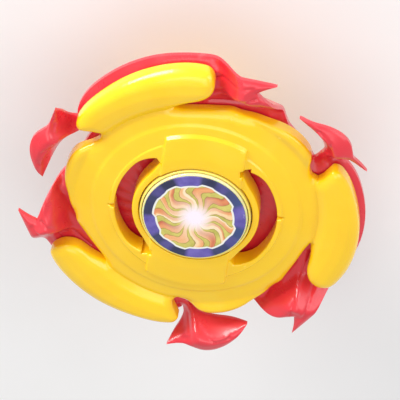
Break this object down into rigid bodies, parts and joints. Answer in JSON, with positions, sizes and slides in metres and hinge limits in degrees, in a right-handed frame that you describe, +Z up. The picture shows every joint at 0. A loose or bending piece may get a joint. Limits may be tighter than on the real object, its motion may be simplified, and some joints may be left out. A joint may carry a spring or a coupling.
{
  "type": "light up spinning top",
  "caption": "Battle-style spinning top with a bladed ring over a flame ring, a light core under a round emblem, a weight disc, a twist-lock base and a flat tip.",
  "frame": {"origin": "centre of the flat of the spinning tip, where the upright top meets the floor", "axes": "+Z up along the spin axis, from the tip to the emblem; +Y along the raised band across the hub, +X across the launcher windows"},
  "size_m": [0.0682, 0.0692, 0.0339],
  "materials": {
    "yellow_plastic": "glossy moulded",
    "red_plastic": "glossy moulded",
    "screw_steel": "bright zinc plated",
    "disc_steel": "nickel plated",
    "core_plastic": "translucent pale yellow",
    "lens_plastic": "clear, faintly yellow",
    "emblem_print": "printed translucent film",
    "board_laminate": "solder resist",
    "black_resin": "potting resin",
    "led_red": "tinted clear",
    "led_white": "clear",
    "led_blue": "tinted clear",
    "contact_brass": "stamped",
    "cell_steel": "stainless",
    "black_plastic": "fine texture"
  },
  "bodies": {
    "crown": {"attack_ring": "yellow_plastic", "flame_ring": "red_plastic", "ring_screw_1": "screw_steel", "ring_screw_2": "screw_steel", "ring_screw_3": "screw_steel", "weight_disc": "disc_steel", "core_housing": "core_plastic", "light_lens": "lens_plastic", "emblem_sticker": "emblem_print", "circuit_board": "board_laminate", "chip_blob": "black_resin", "limit_resistor": "black_resin", "led_1": "led_red", "led_2": "led_white", "led_3": "led_blue", "switch_pin": "contact_brass", "button_cell_1": "cell_steel", "button_cell_2": "cell_steel", "button_cell_3": "cell_steel", "battery_contact_positive": "contact_brass", "battery_contact_negative": "contact_brass", "battery_door": "black_plastic", "door_screw_1": "screw_steel", "door_screw_2": "screw_steel"},
    "base": {"base_shell": "yellow_plastic"},
    "tip": {"spin_tip": "red_plastic", "tip_washer": "screw_steel", "tip_screw": "screw_steel"},
    "switch": {"switch_spring": "screw_steel"}
  },
  "joints": [
    {"name": "base_twist", "type": "hinge", "parent": "crown", "child": "base", "pos_m": [0, 0, 0.0165], "axis": [0, 0, 1], "range_deg": [0, 35]},
    {"name": "tip_spin", "type": "hinge", "parent": "base", "child": "tip", "pos_m": [0, 0, 0.006], "axis": [0, 0, 1], "continuous": true},
    {"name": "switch_sway", "type": "hinge", "parent": "crown", "child": "switch", "pos_m": [0, 0.0052, 0.02665], "axis": [-1, 0, 0], "range_deg": [0, 8], "stiffness_Nm_per_rad": 0.00002}
  ]
}
